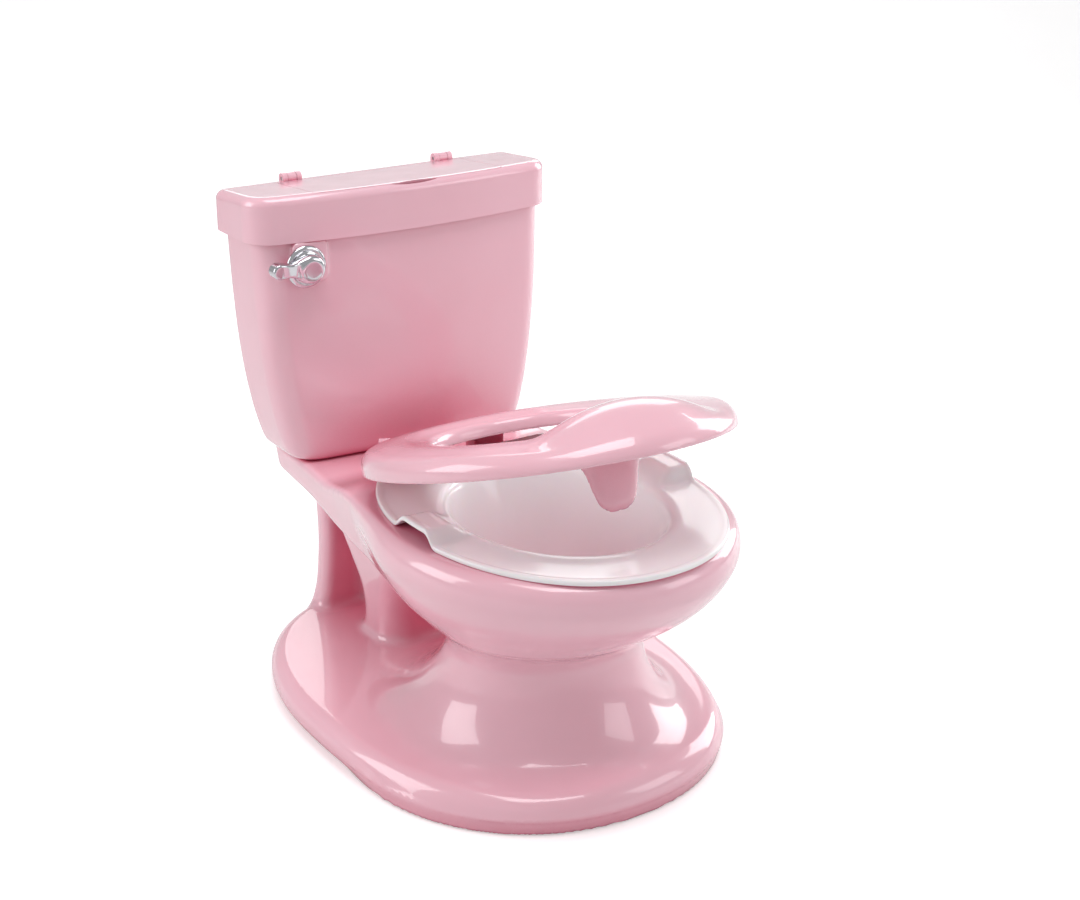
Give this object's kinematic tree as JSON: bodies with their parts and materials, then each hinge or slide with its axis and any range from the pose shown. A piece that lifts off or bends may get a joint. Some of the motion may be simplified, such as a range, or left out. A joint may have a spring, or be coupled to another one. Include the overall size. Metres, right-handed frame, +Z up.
{
  "type": "potty training chair",
  "caption": "Child's potty training chair shaped like a small flush toilet, with hinged splash-guard seat, lift-out pot, chrome flush handle and hinged wipes lid on the tank.",
  "frame": {"origin": "on the floor, at the middle of the object's overall width and depth, with the seat partly raised", "axes": "+Z up, -Y towards the front of the bowl, +X to the right of a person facing the bowl from in front"},
  "size_m": [0.308, 0.4301, 0.405],
  "materials": {
    "pink_plastic": "gloss",
    "white_plastic": "gloss",
    "chrome": "polished",
    "steel": "satin",
    "rubber_pad": "matte",
    "pink_rubber": "matte",
    "white_case": "matte",
    "circuit_board": "matte",
    "dark_part": "matte",
    "battery_jacket": "satin",
    "brass_contact": "satin"
  },
  "bodies": {
    "body": {"body_shell": "pink_plastic", "foot_pads": "rubber_pad", "tank_shell": "pink_plastic", "tank_screws": "steel", "tank_lid": "pink_plastic", "wipes_hinge_pins": "steel", "wipes_tray": "pink_plastic", "flush_escutcheon": "chrome", "flush_return_spring": "steel", "sound_case": "white_case", "sound_case_cover": "white_case", "case_screws": "steel", "sound_board": "circuit_board", "speaker": "dark_part", "sound_switch": "dark_part", "batteries": "battery_jacket", "battery_contacts": "brass_contact", "battery_door": "pink_plastic", "battery_door_screw": "steel", "potty_bowl": "white_plastic"},
    "seat": {"seat_ring": "pink_plastic", "seat_hinge_pins": "steel", "seat_bumpers": "pink_rubber"},
    "wipes_flap": {"wipes_lid": "pink_plastic"},
    "handle": {"flush_lever": "chrome", "flush_shaft": "pink_plastic", "shaft_clip": "steel"},
    "button": {"sound_button": "white_case"}
  },
  "joints": [
    {"name": "seat_hinge", "type": "hinge", "parent": "body", "child": "seat", "pos_m": [0, 0.079, 0.207], "axis": [-1, 0, 0], "range_deg": [-17, 74.5]},
    {"name": "wipes_lid_hinge", "type": "hinge", "parent": "body", "child": "wipes_flap", "pos_m": [0, 0.1965, 0.4006], "axis": [-1, 0, 0], "range_deg": [0, 100]},
    {"name": "flush_handle_turn", "type": "hinge", "parent": "body", "child": "handle", "pos_m": [-0.095, 0.12, 0.3495], "axis": [0, -1, 0], "range_deg": [0, 25], "stiffness_Nm_per_rad": 0.05},
    {"name": "sound_button_press", "type": "slide", "parent": "body", "child": "button", "axis": [0, 0, -1], "range_m": [0, 0.0011]}
  ],
  "couplings": [
    {"joint": "sound_button_press", "follows": "flush_handle_turn", "m_per_rad": 0.00229}
  ]
}
